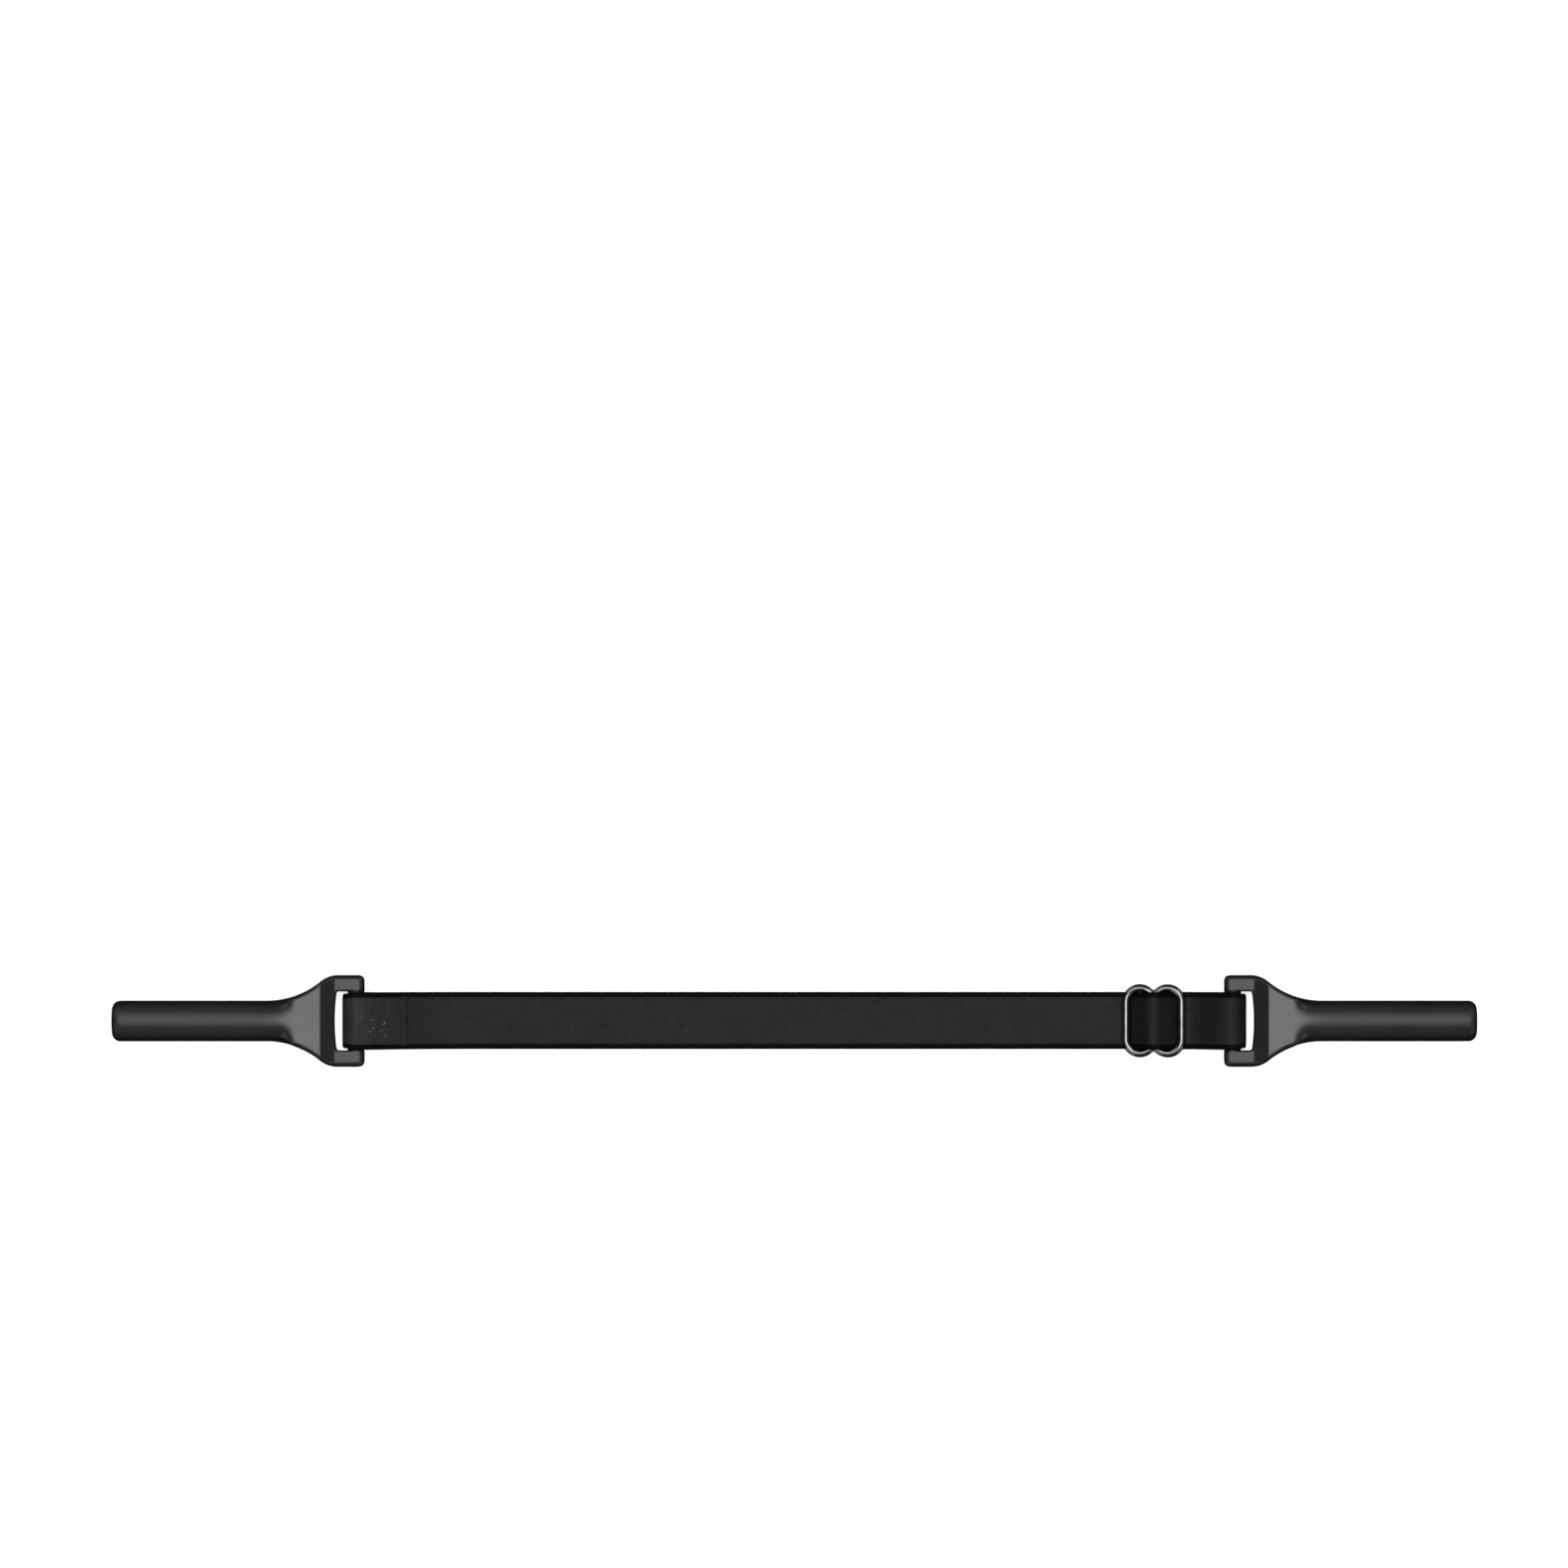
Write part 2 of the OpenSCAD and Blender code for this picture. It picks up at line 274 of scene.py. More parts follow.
def sleeve_field(p):
    """Distance to the sleeve's surface. Its bar lies along Y at the origin and its mouth is towards -X."""
    x, y, z = p.T
    # the tab's end and its corners, seen from above
    beside = np.abs(y) - (TAB_HALF_W + CORNER_SPARE - CORNER_R)
    corner = rounded(x - (TAB_END - CORNER_R), beside, CORNER_R)
    corner = soft_max(corner, chamfered(corner, np.abs(z) - neck_half_height(x)), CHAMFER_SOFT)
    body = soft_max(neck_section(x, y, z), corner, CORNER_SOFT)
    # the tube, with its rounded mouth
    tube = rounded(MOUTH - x + MOUTH_ROUND, np.hypot(y, z) - TUBE_R + MOUTH_ROUND, MOUTH_ROUND)
    body = np.where(x < FLARE_FROM, tube, body)
    # slot, with its wall bowed away from the bar, and the bar
    wall = SLOT_WALL + SLOT_BOW * (y / SLOT_HALF_L) ** 2
    slot = soft_max(wall - x, np.abs(y) - SLOT_HALF_L, SLOT_CORNER)
    body = soft_max(body, -slot, SLOT_LIP)
    bar = np.maximum(np.hypot(x, z) - BAR_R + BAR_INSET, np.abs(y) - SLOT_HALF_L - BAR_ROOT)
    body = soft_min(body, bar, BAR_FILLET)
    # blind bore with a rounded end and a rounded lip
    bore_end = MOUTH + BORE_L - BORE_R
    bore = np.hypot(np.hypot(y, z), np.maximum(x - bore_end, 0)) - BORE_R
    return soft_max(body, -bore, BORE_LIP)


def sleeve_meshes(step):
    """The left sleeve and its mirror image, in place."""
    low = (MOUTH, -TAB_HALF_W, -TUBE_R)
    high = (TAB_END, TAB_HALF_W, TUBE_R)
    points, quads = surface(sleeve_field, low, high, step)
    left = points + (LEFT_BAR[0], 0, LEFT_BAR[1])
    right = points * (-1, 1, 1) + (RIGHT_BAR[0], 0, RIGHT_BAR[1])
    return (left, quads), (right, quads[:, ::-1])


# ---------------------------------------------------------------- slider

CROSSING_FILLET = 0.3


def slider_field(p, radius=WIRE_R):
    """Distance to the figure-8 of round bar, flat in the XY plane about the origin."""
    x, y, z = p.T
    past = np.maximum(np.abs(y) - ARC_Y, 0)
    loops = [np.hypot(np.hypot(x - s * ARC_R, past) - ARC_R, z) - radius for s in (-1, 1)]
    return soft_min(loops[0], loops[1], CROSSING_FILLET)


def tilted(p):
    """From the slider's own flat frame to the row frame."""
    c, s = math.cos(TILT), math.sin(TILT)
    x, y, z = p.T
    return np.stack([WIRE_C[0] + c * x - s * z, y, WIRE_C[1] + s * x + c * z], 1)


def untilted(p):
    """From the row frame to the slider's own flat frame."""
    c, s = math.cos(TILT), math.sin(TILT)
    x, z = p[:, 0] - WIRE_C[0], p[:, 2] - WIRE_C[1]
    return np.stack([c * x + s * z, p[:, 1], c * z - s * x], 1)


# ---------------------------------------------------------------- the band's centre line, in the XZ plane

# Where one stretch gives way to the next, as in the CAD model
FLAT_AFTER_SLOPE = 2.0
RUN_TO_SLIDER = 8.0
SLIDER_TO_UPPER = 5.8
SLIDER_TO_LOWER = 9.0
TAIL_BEFORE_TACK = 0.4
FOLD_PULL = 7.0


def pass_over(centre, r, start, end, side, n=24):
    """Round a bar, from one direction of travel to another, in degrees. side: 1 is over it, -1 under it."""
    a = np.radians(np.linspace(start, end, n + 1))
    return centre + side * r * np.stack([-np.sin(a), np.cos(a)], 1)


def ease(p, q, n=40):
    """An S-curve that leaves p and reaches q level."""
    t = np.linspace(0, 1, n + 1)
    return np.stack([p[0] + (q[0] - p[0]) * t, p[1] + (q[1] - p[1]) * t * t * (3 - 2 * t)], 1)


def cubic(p, a, q, b, pull, n=40):
    """A cubic from p in direction a to q in direction b."""
    t = np.linspace(0, 1, n + 1)[:, None]
    out, into = np.array([math.cos(a), math.sin(a)]), np.array([math.cos(b), math.sin(b)])
    return (np.array(p) * (1 + 2 * t) * (1 - t) ** 2 + np.array(q) * t * t * (3 - 2 * t)
            + pull * out * t * (1 - t) ** 2 - pull * into * t * t * (1 - t))


def left_slope(u):
    """From the top of the left fold down to the surface. u is the distance along X from the bar."""
    t = np.asarray(u) / SLOPE_L
    drop = (1 - t) ** 4 * (1 + 4 * t)
    return np.stack([LEFT_BAR[0] + np.asarray(u), FLAT_Z + (LEFT_BAR[1] + FOLD_R - FLAT_Z) * drop], 1)


def normals(line):
    """Unit normals of a line, on its left."""
    d = np.gradient(line, axis=0)
    d /= np.linalg.norm(d, axis=1)[:, None]
    return np.stack([-d[:, 1], d[:, 0]], 1)


def joined(*parts):
    """One line from several that meet end to end, without the repeated points."""
    line = [parts[0]]
    for part in parts[1:]:
        first = 1 if np.linalg.norm(part[0] - line[-1][-1]) < 1e-6 else 0
        line.append(part[first:])
    return np.concatenate(line)


def centre_lines():
    """The band from its left tail to its tail at the slider: a line for each stretch that moves alone."""
    under = left_slope(np.linspace(LEFT_TACK_AT - TAIL_BEFORE_TACK, TAIL_L, 30))
    under = under - LAYER * normals(under)
    lead = under[1] - under[0]
    fold_to_tail = cubic(LEFT_BAR - [0, FOLD_R], 0, under[0], math.atan2(lead[1], lead[0]), FOLD_PULL)
    tail = joined(fold_to_tail, under)[::-1]
    left_loop_end = LEFT_BAR[0] + SLOPE_L + FLAT_AFTER_SLOPE
    run_end = SLIDER_X - RUN_TO_SLIDER
    left = joined(
        tail,
        pass_over(LEFT_BAR, FOLD_R, 180, 0, 1, 48),
        left_slope(np.linspace(0, SLOPE_L, 60)),
        np.array([[left_loop_end, FLAT_Z]]),
    )
    run = np.array([[left_loop_end, FLAT_Z], [run_end, FLAT_Z]])
    # under the slider's left bar, over its centre bar and under its right bar
    turn = math.degrees(math.asin((2 * PASS_R + LAYER) / BAR_PITCH))
    tilt = math.degrees(TILT)
    up, down = tilt + turn, tilt - turn
    upper_from = np.array([SLIDER_X + SLIDER_TO_UPPER, WIRE_B_Z - PASS_R])
    through = joined(
        np.array([[run_end, FLAT_Z]]),
        pass_over(WIRE_A, PASS_R, 0, up, -1),
        pass_over(WIRE_C, PASS_R + LAYER, up, down, 1),
        pass_over(WIRE_B, PASS_R, down, 0, -1),
        upper_from[None],
    )
    # to the right sleeve's bar, round it and back
    upper = ease(upper_from, RIGHT_BAR + [0, FOLD_R])
    fold = pass_over(RIGHT_BAR, FOLD_R, 0, -180, 1, 48)
    lower_to = np.array([SLIDER_X + SLIDER_TO_LOWER, TAIL_Z + LAYER])
    lower = ease(RIGHT_BAR - [0, FOLD_R], lower_to)
    # under the slider's right bar, round its centre bar, and out again as the tail
    loop = joined(
        lower_to[None],
        pass_over(WIRE_B, PASS_R + LAYER, 0, down, -1),
        pass_over(WIRE_C, PASS_R, down, 180, 1, 48),
        ease(WIRE_C - [0, PASS_R], np.array([SLIDER_X + BAR_PITCH - TAIL_BEFORE_TACK, TAIL_Z])),
        np.array([[SLIDER_X + TAIL_L - FLAT_AFTER_SLOPE, TAIL_Z]]),
    )
    return {
        "left_loop": left,
        "long_run": run,
        "through": through,
        "upper": upper,
        "fold": fold,
        "lower": lower,
        "slider_loop": loop,
    }


# ---------------------------------------------------------------- the band's cloth

RIB_PITCH = 0.5
RIB_HEIGHT = 0.022
RING_STEP = RIB_PITCH / 4
SELVEDGE_W = 0.48
SELVEDGE_SHARE = SELVEDGE_W / BAND_HALF_W
CORD_R = 1.15 * SELVEDGE_W
GROOVE_DEPTH, GROOVE_W = 0.05, 0.09
WAVE_ENDS = 12


def across_band():
    """Places across one face of the band, as shares of its half width, from one edge to the other."""
    edge = 1 - SELVEDGE_SHARE
    cord = 1 - SELVEDGE_SHARE * np.array([0.82, 0.62, 0.44, 0.28, 0.15, 0.06])
    return np.concatenate([-cord[::-1], np.linspace(-edge, edge, 21), cord])


def half_thickness(share):
    """Half the band's thickness across its width: flat, a shallow groove, then a rounded selvedge cord."""
    mm = np.abs(share) * BAND_HALF_W
    into = np.clip((mm - (BAND_HALF_W - CORD_R)) / CORD_R, 0, 1)
    groove_at = BAND_HALF_W - SELVEDGE_W - 0.02
    groove = GROOVE_DEPTH * np.exp(-((mm - groove_at) / GROOVE_W) ** 2)
    return BAND_T / 2 * np.sqrt(1 - into ** 2) - groove


def along(line):
    """Distance along a line at each of its points."""
    return np.concatenate([[0], np.cumsum(np.linalg.norm(np.diff(line, axis=0), axis=1))])


def tube_quads(rings, n):
    """The quads between rings + 1 rings of n points."""
    base = np.arange(rings)[:, None] * n
    k = np.arange(n)
    around = (k + 1) % n
    return np.stack([base + k, base + around, base + n + around, base + n + k], -1).reshape(-1, 4)


def band_mesh(name, line, line_normals, offset, narrow=None, wave=0.0):
    """A closed length of ribbed elastic along line. Its second material slot is the selvedge's.

    offset is how far along the whole band it starts, narrow gives the share of the full width that it keeps,
    and wave is how high it ripples.
    """
    s = along(line)
    rings = max(8, int(round(s[-1] / RING_STEP)))
    at = np.linspace(0, s[-1], rings + 1)
    centre = np.stack([np.interp(at, s, line[:, k]) for k in (0, 1)], 1)
    normal = np.stack([np.interp(at, s, line_normals[:, k]) for k in (0, 1)], 1)
    normal /= np.linalg.norm(normal, axis=1)[:, None]
    across = across_band()
    thick = half_thickness(across)
    inner = np.abs(across) < 1 - SELVEDGE_SHARE
    rib = 0.5 + 0.5 * np.cos(2 * math.pi * (at + offset) / RIB_PITCH)
    knot = 0.5 + 0.5 * np.cos(4 * math.pi * (at + offset) / RIB_PITCH)
    width = BAND_HALF_W * (narrow(centre) if narrow else np.ones(len(at)))
    # each face, followed by the middle of the edge that it ends at
    ring_points = []
    for side in (1, -1):
        order = slice(None) if side == 1 else slice(None, None, -1)
        a, h, body = across[order], thick[order], inner[order]
        sunk = RIB_HEIGHT * np.where(body[None], 1 - rib[:, None], 0.6 * (1 - knot[:, None]))
        height = side * (h[None] - sunk)
        x = centre[:, :1] + normal[:, :1] * height
        z = centre[:, 1:] + normal[:, 1:] * height
        y = a[None] * width[:, None]
        ring_points.append(np.stack([x, y, z], -1))
        tip = (1.0 if side == 1 else -1.0) * width
        ring_points.append(np.stack([centre[:, 0], tip, centre[:, 1]], -1)[:, None])
    points = np.concatenate(ring_points, 1)
    n = points.shape[1]
    if wave:
        ends = np.clip(np.minimum(at, s[-1] - at) / WAVE_ENDS, 0, 1)
        points[..., 2] += (wave * ends * (1 + np.sin(at / 7.3) * np.sin(at / 17 + 1)))[:, None]
    quads = tube_quads(rings, n)
    caps = [list(range(n)), list(range(rings * n, rings * n + n))[::-1]]
    obj = new_mesh(name, points.reshape(-1, 3), list(quads[:, ::-1]) + caps)
    for face in obj.data.polygons[-2:]:
        face.use_smooth = False
    # the faces that touch a point of the selvedge take its slot
    outer = np.concatenate([~inner, [True], ~inner[::-1], [True]])
    selvedge = outer | np.roll(outer, -1)
    slots = np.append(np.tile(selvedge, rings), [0, 0])
    obj.data.polygons.foreach_set("material_index", slots.astype(np.int32))
    obj.data.set_sharp_from_angle(angle=math.radians(60))
    return obj


def pressed_clear(obj, gap=0.03):
    """Moves the cloth's surface out of the slider's bars, where their rounded ends press into it."""
    points = np.array([v.co for v in obj.data.vertices]) / MM
    reach = WIRE_R + gap
    small, sideways = 0.01, 0.3
    for _ in range(6):
        flat = untilted(points)
        depth = slider_field(flat, reach)
        inside = depth < 0
        if not inside.any():
            break
        rise = [slider_field(flat + e, reach) - slider_field(flat - e, reach) for e in small * np.eye(3)]
        slope = np.stack(rise, 1)
        slope[:, 1] *= sideways
        slope /= np.maximum(np.linalg.norm(slope, axis=1), 1e-9)[:, None]
        flat[inside] -= depth[inside, None] * slope[inside]
        points = tilted(flat)
    obj.data.vertices.foreach_set("co", (points * MM).ravel())
    obj.data.update()


def narrowed_at(x, width_share=0.05, reach=1.0):
    """The share of its full width that the band keeps: it is pulled in round x, as a fold is."""
    return lambda centre: 1 - width_share * np.exp(-((centre[:, 0] - x) / reach) ** 2)


# ---------------------------------------------------------------- sewing thread

THREAD_R = 0.12
THREAD_SIDES = 8
THREAD_SLACK = 0.05
THREAD_DIVE = 0.2


def thread_mesh(name, line):
    """A round thread along a line of points in 3-D."""
    sides = THREAD_SIDES
    line = np.asarray(line)
    d = np.gradient(line, axis=0)
    d /= np.linalg.norm(d, axis=1)[:, None]
    up = np.zeros_like(d)
    up[:, 2] = 1
    side = np.cross(d, up)
    weak = np.linalg.norm(side, axis=1) < 0.1
    side[weak] = (0, 1, 0)
    side /= np.linalg.norm(side, axis=1)[:, None]
    for i in range(1, len(side)):
        if side[i] @ side[i - 1] < 0:
            side[i] *= -1
    other = np.cross(d, side)
    a = np.linspace(0, 2 * math.pi, sides, endpoint=False)
    ring = np.cos(a)[None, :, None] * side[:, None] + np.sin(a)[None, :, None] * other[:, None]
    points = line[:, None] + THREAD_R * ring
    quads = tube_quads(len(line) - 1, sides)
    last = (len(line) - 1) * sides
    caps = [list(range(sides))[::-1], list(range(last, last + sides))]
    return new_mesh(name, points.reshape(-1, 3), list(quads) + caps)


def zigzag(start, end, up, lift, stitches=TACK_STITCHES):
    """A satin zigzag: thread from the start line to the end line and back, stepping across the band.

    start and end are points in XZ, up is the cloth's normal there, and lift is the thread's height over it.
    """
    start, end, up = (np.array([v[0], 0, v[1]]) for v in (start, end, up))
    line = []
    for i in range(2 * stitches):
        y0 = -TACK_HALF_W + TACK_HALF_W * i / stitches
        y1 = y0 + TACK_HALF_W / stitches
        p, q = (start, end) if i % 2 == 0 else (end, start)
        slack = random.uniform(-THREAD_SLACK, THREAD_SLACK)
        for t in np.linspace(0, 1, 9)[:-1]:
            off_middle = abs(2 * t - 1)
            height = lift * (1 - off_middle ** 4) - THREAD_DIVE * off_middle ** 6
            place = p + (q - p) * t + up * height
            line.append(place + np.array([slack * (1 - off_middle), y0 + (y1 - y0) * t, 0]))
    return np.array(line)


# ---------------------------------------------------------------- materials

# The colour sockets of Blender's Mix node, whose names are shared with its other types
MIX_A, MIX_B, MIX_RESULT = 6, 7, 2


def smooth_step(nodes, links, value, start, end, low=0.0, high=1.0):
    """A smooth change from low to high as value goes from start to end."""
    node = nodes.new("ShaderNodeMapRange")
    node.interpolation_type = "SMOOTHSTEP"
    for socket, number in zip(("From Min", "From Max", "To Min", "To Max"), (start, end, low, high)):
        node.inputs[socket].default_value = number
    links.new(value, node.inputs["Value"])
    return node.outputs["Result"]


class Looks:
    """A new material, with short ways to add the nodes it needs. place is the point on the piece."""

    def __init__(self, name):
        self.material = bpy.data.materials.new(name)
        self.material.use_nodes = True
        self.nodes = self.material.node_tree.nodes
        self.links = self.material.node_tree.links
        self.shader = self.nodes["Principled BSDF"]
        self.place = self.nodes.new("ShaderNodeTexCoord").outputs["Object"]

    def to_shader(self, **values):
        """Links each value to the shader's socket of that name, with _ for a space."""
        for name, value in values.items():
            self.links.new(value, self.shader.inputs[name.replace("_", " ")])

    def along_axes(self):
        """The place's coordinates, by axis."""
        node = self.nodes.new("ShaderNodeSeparateXYZ")
        self.links.new(self.place, node.inputs[0])
        return node.outputs

    def noise(self, scale, detail=2.0, roughness=0.5, place=None):
        node = self.nodes.new("ShaderNodeTexNoise")
        node.inputs["Scale"].default_value = scale
        node.inputs["Detail"].default_value = detail
        node.inputs["Roughness"].default_value = roughness
        self.links.new(place or self.place, node.inputs["Vector"])
        return node.outputs["Fac"]

    def waves(self, direction, pitch_mm, distortion=0.0):
        """Even bands along one axis, pitch_mm apart."""
        node = self.nodes.new("ShaderNodeTexWave")
        node.wave_type = "BANDS"
        node.bands_direction = direction
        node.inputs["Scale"].default_value = 2 * math.pi / (20 * pitch_mm * MM)
        node.inputs["Distortion"].default_value = distortion
        self.links.new(self.place, node.inputs["Vector"])
        return node.outputs["Fac"]

    def maths(self, operation, *values):
        node = self.nodes.new("ShaderNodeMath")
        node.operation = operation
        for socket, value in zip(node.inputs, values):
            if isinstance(value, (int, float)):
                socket.default_value = value
            else:
                self.links.new(value, socket)
        return node.outputs[0]

    def ramp(self, value, *stops):
        """A colour ramp of (position, (r, g, b)) stops."""
        node = self.nodes.new("ShaderNodeValToRGB")
        for element, (position, colour) in zip(node.color_ramp.elements, stops):
            element.position = position
            element.color = (*colour, 1)
        self.links.new(value, node.inputs["Fac"])
        return node.outputs["Color"]

    def mix(self, share, colour, other):
        """colour, with share of the fixed colour other in it."""
        node = self.nodes.new("ShaderNodeMix")
        node.data_type = "RGBA"
        self.links.new(share, node.inputs["Factor"])
        self.links.new(colour, node.inputs[MIX_A])
        node.inputs[MIX_B].default_value = (*other, 1)
        return node.outputs[MIX_RESULT]

    def spread(self, value, low, high):
        """value from 0..1 to low..high."""
        node = self.nodes.new("ShaderNodeMapRange")
        node.inputs["To Min"].default_value = low
        node.inputs["To Max"].default_value = high
        self.links.new(value, node.inputs["Value"])
        return node.outputs["Result"]

    def smooth_mm(self, value, start, end, low=0.0, high=1.0):
        """smooth_step, with start and end in millimetres."""
        return smooth_step(self.nodes, self.links, value, start * MM, end * MM, low, high)

    def bump(self, height, distance_mm, strength, before=None):
        node = self.nodes.new("ShaderNodeBump")
        node.inputs["Strength"].default_value = strength
        node.inputs["Distance"].default_value = distance_mm * MM
        self.links.new(height, node.inputs["Height"])
        if before is not None:
            self.links.new(before, node.inputs["Normal"])
        return node.outputs["Normal"]


def silicone_material():
    """Moulded charcoal silicone: fine mould grain, uneven sheen, and a faint parting line round it."""
    look = Looks("silicone")
    patches = look.noise(scale=90, detail=3)
    grain = look.noise(scale=5200, detail=2, roughness=0.6)
    colour = look.ramp(patches, (0.3, (0.009, 0.009, 0.009)), (0.7, (0.014, 0.014, 0.014)))
    uneven = look.maths("MULTIPLY_ADD", grain, 0.35, look.maths("MULTIPLY", patches, 0.65))
    axes = look.along_axes()
    from_middle = look.maths("ABSOLUTE", axes["X"])
    off_middle = look.maths("ABSOLUTE", look.maths("SUBTRACT", axes["Z"], LEFT_BAR[1] * MM))
    # the top of the tube is smoother than the tab, and its sides are more matt
    on_tube = look.smooth_mm(from_middle, RIGHT_BAR[0] - FACET_FROM + 0.2, RIGHT_BAR[0] - FLARE_FROM)
    sides = look.smooth_mm(off_middle, 1.0, 2.3, -0.14, 0.16)
    rough = look.maths("MULTIPLY_ADD", on_tube, sides, look.spread(uneven, 0.26, 0.36))
    # the arms beside the slot are more matt too
    slot_wall = RIGHT_BAR[0] - SLOT_WALL
    arms = look.smooth_mm(from_middle, slot_wall + 0.6, slot_wall)
    rough = look.maths("MULTIPLY_ADD", arms, 0.08, rough)
    parting_w, parting_soft = 0.07, 0.3
    off_line = look.maths("MULTIPLY", off_middle, 1 / (parting_w * MM))
    line = look.maths("SMOOTH_MIN", off_line, 1.0, parting_soft)
    parting = look.bump(line, 0.03, -0.5)
    look.to_shader(Base_Color=colour, Roughness=rough, Normal=look.bump(grain, 0.012, 0.55, parting))
    look.shader.inputs["Specular IOR Level"].default_value = 0.41
    return look.material


def elastic_material():
    """Black woven elastic: fine yarns both ways and crinkled satin patches, with paler streaks and pale
    specks near the left fold.
    """
    look = Looks("elastic")
    patches = look.noise(scale=160, detail=3)
    crinkle = look.noise(scale=900, detail=3, roughness=0.6)
    weave = look.maths("MULTIPLY", look.waves("X", 0.25, 0.6), look.waves("Y", 0.34, 0.5))
    tone = look.maths("MULTIPLY_ADD", weave, 0.35, look.maths("MULTIPLY", patches, 0.65))
    colour = look.ramp(tone, (0.1, (0.0018, 0.0018, 0.0024)), (0.75, (0.0092, 0.0092, 0.011)))
    # the weave is paler in streaks where the band leaves the left fold
    stretched = look.nodes.new("ShaderNodeMapping")
    stretched.inputs["Scale"].default_value = (1, 0.15, 1)
    look.links.new(look.place, stretched.inputs["Vector"])
    streaks = look.noise(scale=2600, detail=2, roughness=0.6, place=stretched.outputs["Vector"])
    near_left_fold = look.smooth_mm(look.along_axes()["X"], LEFT_BAR[0] + 14, LEFT_BAR[0] + 4)
    colour = look.mix(look.maths("MULTIPLY", near_left_fold, streaks), colour, (0.029, 0.029, 0.032))
    # pale specks beside the left fold
    speck_noise = look.noise(scale=1400, detail=2, roughness=0.7)
    away = look.nodes.new("ShaderNodeVectorMath")
    away.operation = "DISTANCE"
    look.links.new(look.place, away.inputs[0])
    away.inputs[1].default_value = ((LEFT_BAR[0] + 3.4) * MM, -1.2 * MM, LEFT_BAR[1] * MM)
    near = look.smooth_mm(away.outputs["Value"], 3.2, 0.8)
    specks = look.maths("MULTIPLY", look.maths("GREATER_THAN", speck_noise, 0.63), near)
    colour = look.mix(specks, colour, (0.2, 0.2, 0.21))
    yarns = look.bump(weave, 0.02, 0.7)
    look.to_shader(
        Base_Color=colour,
        Roughness=look.spread(crinkle, 0.42, 0.66),
        Normal=look.bump(crinkle, 0.03, 0.5, yarns),
    )
    look.shader.inputs["Specular IOR Level"].default_value = 0.15
    look.shader.inputs["Sheen Weight"].default_value = 0.02
    look.shader.inputs["Sheen Roughness"].default_value = 0.5
    return look.material


def selvedge_material():
    """The band's corded edges: black yarn wound across the cord, coloured darker than the body as painted
    shade along the rounded edges.
    """
    look = Looks("selvedge")
    wound = look.waves("X", 0.25, 1.2)
    # painted shade: the edges' colour is darker than the body's, for the shade along them
    look.to_shader(
        Base_Color=look.ramp(wound, (0.1, (0.0006, 0.0006, 0.0008)), (0.9, (0.0028, 0.0028, 0.0034))),
        Roughness=look.spread(wound, 0.55, 0.75),
        Normal=look.bump(wound, 0.02, 0.6),
    )
    look.shader.inputs["Specular IOR Level"].default_value = 0.04
    return look.material


def thread_material():
    """Twisted black polyester thread."""
    look = Looks("thread")
    twist = look.waves("DIAGONAL", 0.16, 1.5)
    look.to_shader(
        Base_Color=look.ramp(twist, (0.1, (0.006, 0.006, 0.007)), (0.9, (0.017, 0.017, 0.019))),
        Roughness=look.spread(twist, 0.35, 0.55),
        Normal=look.bump(twist, 0.02, 0.6),
    )
    look.shader.inputs["Specular IOR Level"].default_value = 0.25
    return look.material


def metal_material():
    """Black nickel plating: glossy, with cloudy polish and a few fine rub marks."""
    look = Looks("dark_nickel")
    clouds = look.noise(scale=700, detail=3)
    rubs = look.noise(scale=3500, detail=4, roughness=0.7)
    look.to_shader(
        Base_Color=look.ramp(clouds, (0.3, (0.105, 0.105, 0.11)), (0.7, (0.17, 0.17, 0.175))),
        Roughness=look.spread(rubs, 0.07, 0.17),
        Normal=look.bump(rubs, 0.004, 0.3),
    )
    look.shader.inputs["Metallic"].default_value = 1.0
    return look.material


def floor_material():
    """A white surface that shines a little, so that it stays as pure a white as the photograph's."""
    look = Looks("floor")
    tone = look.noise(scale=12, detail=2)
    look.to_shader(Base_Color=look.ramp(tone, (0.3, (0.86, 0.86, 0.86)), (0.7, (0.88, 0.88, 0.88))))
    look.shader.inputs["Roughness"].default_value = 0.9
    look.shader.inputs["Specular IOR Level"].default_value = 0.1
    look.shader.inputs["Emission Color"].default_value = (1, 1, 1, 1)
    look.shader.inputs["Emission Strength"].default_value = 0.65
    return look.material


# ---------------------------------------------------------------- camera, floor and light

def camera():
    """Straight above the strap, which lies across the lower part of the picture."""
    picture_w = 273.3 * MM
    centre_x, centre_y = -1.8 * MM, 41.3 * MM
    lens, sensor = 200.0, 36.0
    data = bpy.data.cameras.new("camera")
    data.lens, data.sensor_width, data.sensor_fit = lens, sensor, "HORIZONTAL"
    data.clip_start, data.clip_end = 0.01, 10
    obj = bpy.data.objects.new("camera", data)
    bpy.context.scene.collection.objects.link(obj)
    obj.location = (centre_x, centre_y, picture_w * lens / sensor + LEFT_BAR[1] * MM)
    bpy.context.scene.camera = obj


def floor():
    """The surface that the strap lies on, left out of reflections and bounced light."""
    mesh = bpy.data.meshes.new("floor")
    half = 3.0
    corners = [(-half, -half, 0), (half, -half, 0), (half, half, 0), (-half, half, 0)]
    mesh.from_pydata(corners, [], [(0, 1, 2, 3)])
    obj = bpy.data.objects.new("floor", mesh)
    bpy.context.scene.collection.objects.link(obj)
    obj.data.materials.append(floor_material())
    obj.visible_glossy = False
    obj.visible_diffuse = False


def area_light(name, place, size, radiance):
    """A softbox of the given width, length and radiance, aimed at the strap."""
    data = bpy.data.lights.new(name, "AREA")
    data.shape, data.size, data.size_y = "RECTANGLE", *size
    data.energy = radiance * math.pi * size[0] * size[1]
    obj = bpy.data.objects.new(name, data)
    bpy.context.scene.collection.objects.link(obj)
    obj.location = place
    toward_strap = Vector((0, 0, 0)) - Vector(place)
    obj.rotation_euler = toward_strap.to_track_quat("-Z", "Y").to_euler()


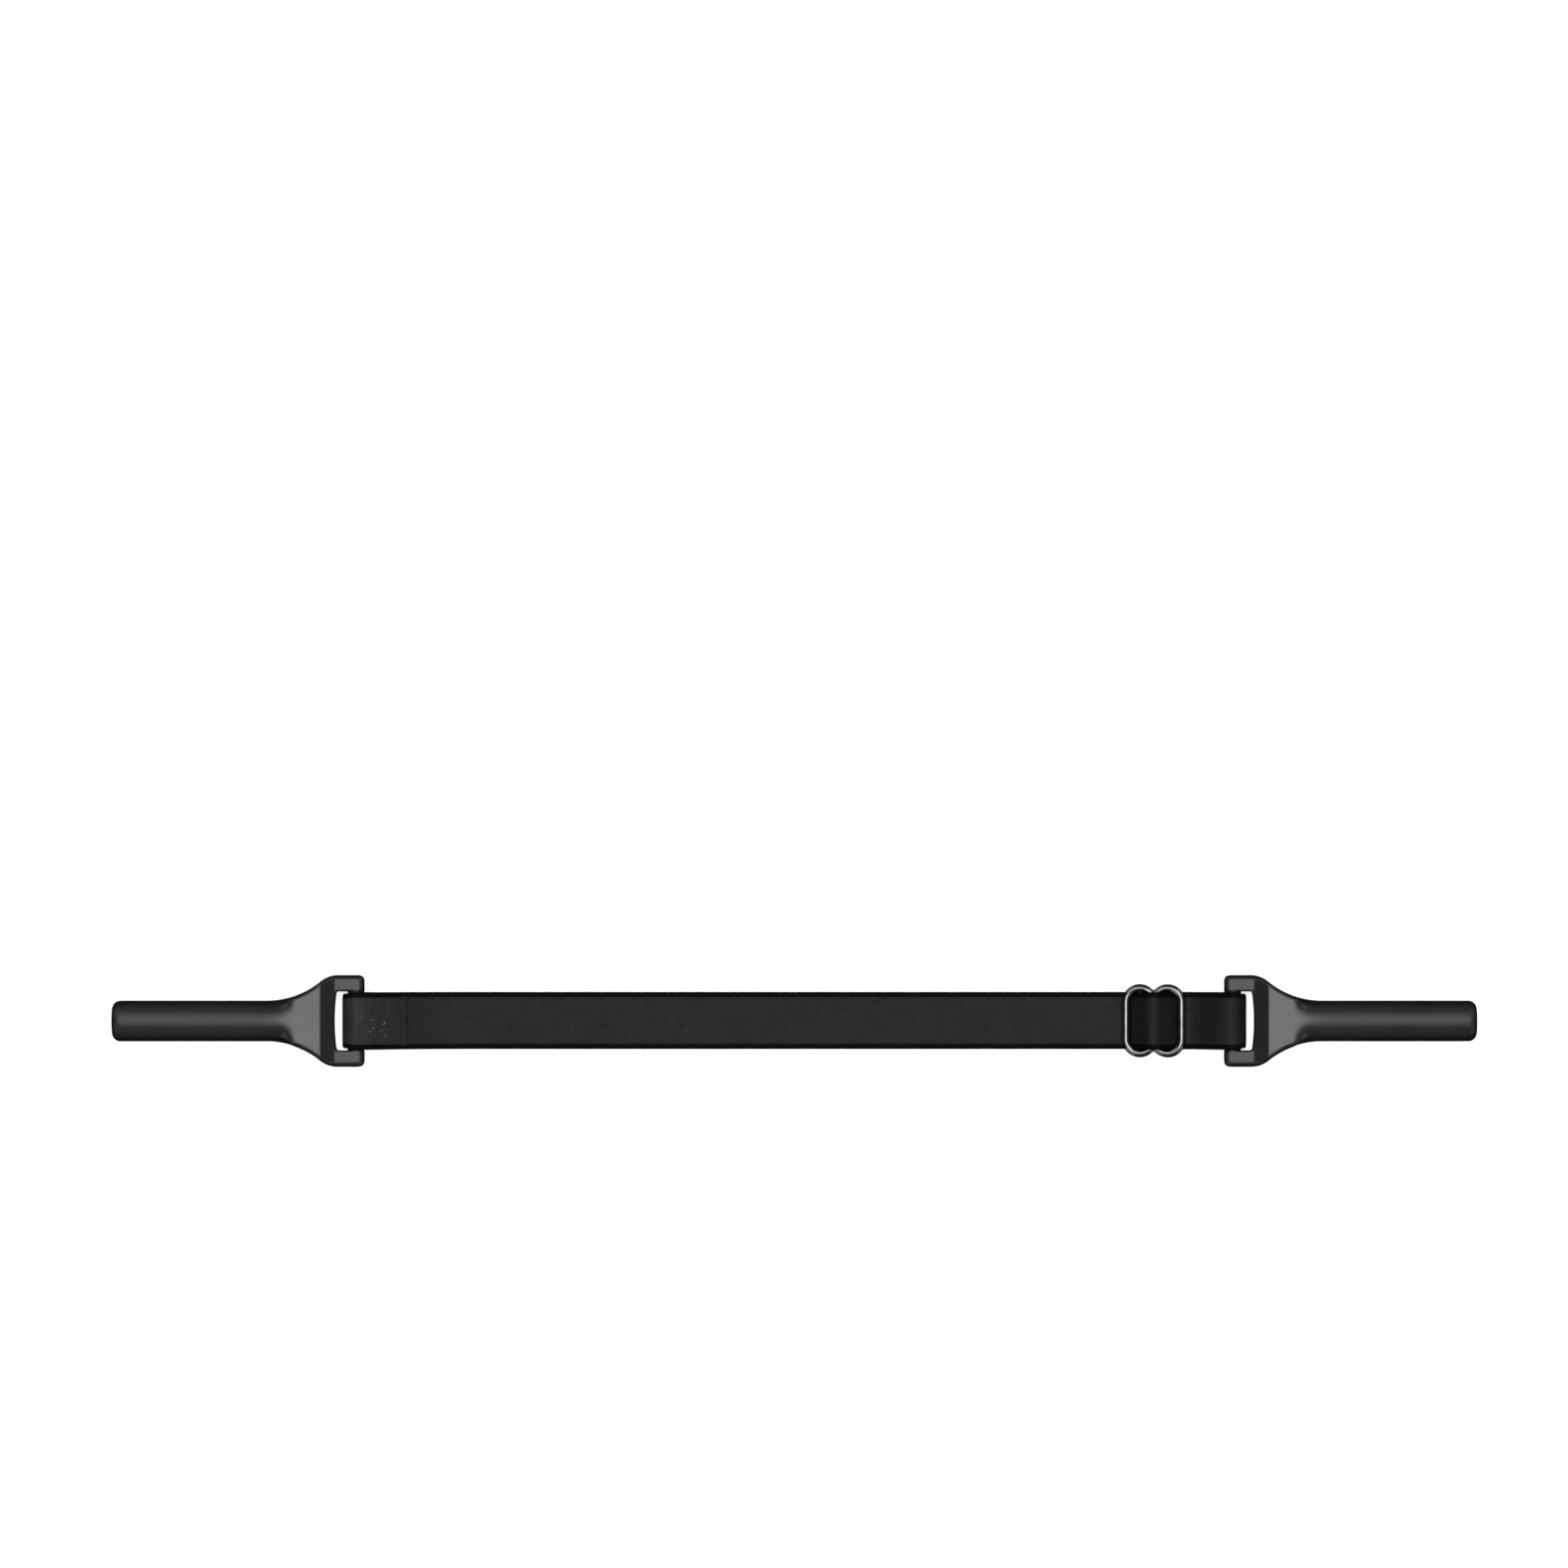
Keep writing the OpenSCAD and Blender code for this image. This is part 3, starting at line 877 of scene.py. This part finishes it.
def lights():
    area_light("top_softbox", place=(0, 0.22, 1.0), size=(1.0, 0.95), radiance=2.55)
    area_light("top_strip", place=(0, 0.06, 0.98), size=(0.24, 0.5), radiance=6.0)
    for x in (-1.2, 1.2):
        for y in (-1.2, 1.2):
            area_light("corner_softbox", place=(x, y, 0.7), size=(0.9, 0.9), radiance=1.5)
    world = bpy.data.worlds.new("studio")
    world.use_nodes = True
    nodes, links = world.node_tree.nodes, world.node_tree.links
    # a dim dome of light that fades to none at the horizon
    axes = nodes.new("ShaderNodeSeparateXYZ")
    links.new(nodes.new("ShaderNodeTexCoord").outputs["Generated"], axes.inputs[0])
    dome = smooth_step(nodes, links, axes.outputs["Z"], start=0.0, end=0.15, high=0.15)
    links.new(dome, nodes["Background"].inputs["Strength"])
    nodes["Background"].inputs["Color"].default_value = (0.95, 0.97, 1, 1)
    bpy.context.scene.world = world
    bpy.context.scene.view_settings.view_transform = "Standard"


# ---------------------------------------------------------------- pieces

def dress(obj, material, slot, *nodes):
    """Gives a piece its material, and hides the CAD nodes that it replaces. slot is not used."""
    obj.data.materials.append(material)
    if nodes:
        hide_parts(*nodes)
    return obj


def build_sleeves(silicone):
    step = 0.2
    for side, (points, quads) in zip(("left", "right"), sleeve_meshes(step)):
        obj = new_mesh(f"{side}_sleeve_moulding", points, quads)
        dress(obj, silicone, "silicone", f"{side}_temple_sleeve")
        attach(obj, f"{side}_sleeve")


def build_slider(metal):
    low = (-2 * ARC_R - WIRE_R, -SLIDER_HIGH[1], -WIRE_R)
    points, quads = surface(slider_field, low, [-v for v in low], step=0.11)
    obj = new_mesh("slider_figure_8", tilted(points), quads)
    dress(obj, metal, "dark_nickel", "slider")
    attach(obj, "slider")


def build_band(elastic, selvedge):
    lines = centre_lines()
    narrow = {
        "left_loop": narrowed_at(LEFT_BAR[0] - FOLD_R),
        "fold": narrowed_at(RIGHT_BAR[0] + FOLD_R),
    }
    wave = {"long_run": 0.05}
    pieces, start = {}, 0.0
    for name, line in lines.items():
        pieces[name] = band_mesh(
            f"elastic_{name}", line, normals(line), start, narrow.get(name), wave.get(name, 0)
        )
        start += along(line)[-1]
    for name in ("through", "slider_loop"):
        pressed_clear(pieces[name])
    cad = {
        "left_loop": "band_left_loop",
        "long_run": "band_long_run",
        "through": "band_through_slider",
        "upper": "band_upper_layer",
        "fold": "band_right_fold",
        "lower": "band_lower_layer",
        "slider_loop": "band_slider_loop",
    }
    for name, obj in pieces.items():
        dress(obj, elastic, "elastic", cad[name])
        obj.data.materials.append(selvedge)
    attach(pieces["left_loop"], "band")
    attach(pieces["long_run"], "band")
    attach(pieces["through"], "slider")
    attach(pieces["slider_loop"], "slider")
    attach(pieces["fold"], "right_loop")
    # both layers are baked into place; their ends at the slider and at the right fold are worked out but not
    # used
    for name, ends in (("upper", lines["upper"][[0, -1]]), ("lower", lines["lower"][[-1, 0]])):
        start, end = ((x * MM, 0, z * MM) for x, z in ends)
        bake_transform(pieces[name])
    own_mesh(pieces["long_run"])


def build_tacks(thread):
    """Stitches on both faces of the two sewn layers at each tack."""
    at_slider = SLIDER_X + SLIDER_TACK_AT
    rows = {
        "left_bar_tack": ("band", left_slope([LEFT_TACK_AT, LEFT_TACK_AT + TACK_L])),
        "slider_bar_tack": (
            "slider",
            np.array([[at_slider, TAIL_Z + LAYER], [at_slider + TACK_L, TAIL_Z + LAYER]]),
        ),
    }
    for name, (body, (p, q)) in rows.items():
        d = q - p
        up = np.array([-d[1], d[0]]) / np.linalg.norm(d)
        faces = {
            "top": (up * BAND_T / 2, up, 0.3 * THREAD_R),
            "under": (-up * (BAND_T / 2 + LAYER), -up, 0.1 * THREAD_R),
        }
        for face, (offset, way, lift) in faces.items():
            obj = thread_mesh(f"{name}_{face}_stitches", zigzag(p + offset, q + offset, way, lift))
            dress(obj, thread, "thread", *([name] if face == "top" else []))
            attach(obj, body)


camera()
floor()
lights()
build_sleeves(silicone_material())
build_slider(metal_material())
build_band(elastic_material(), selvedge_material())
build_tacks(thread_material())
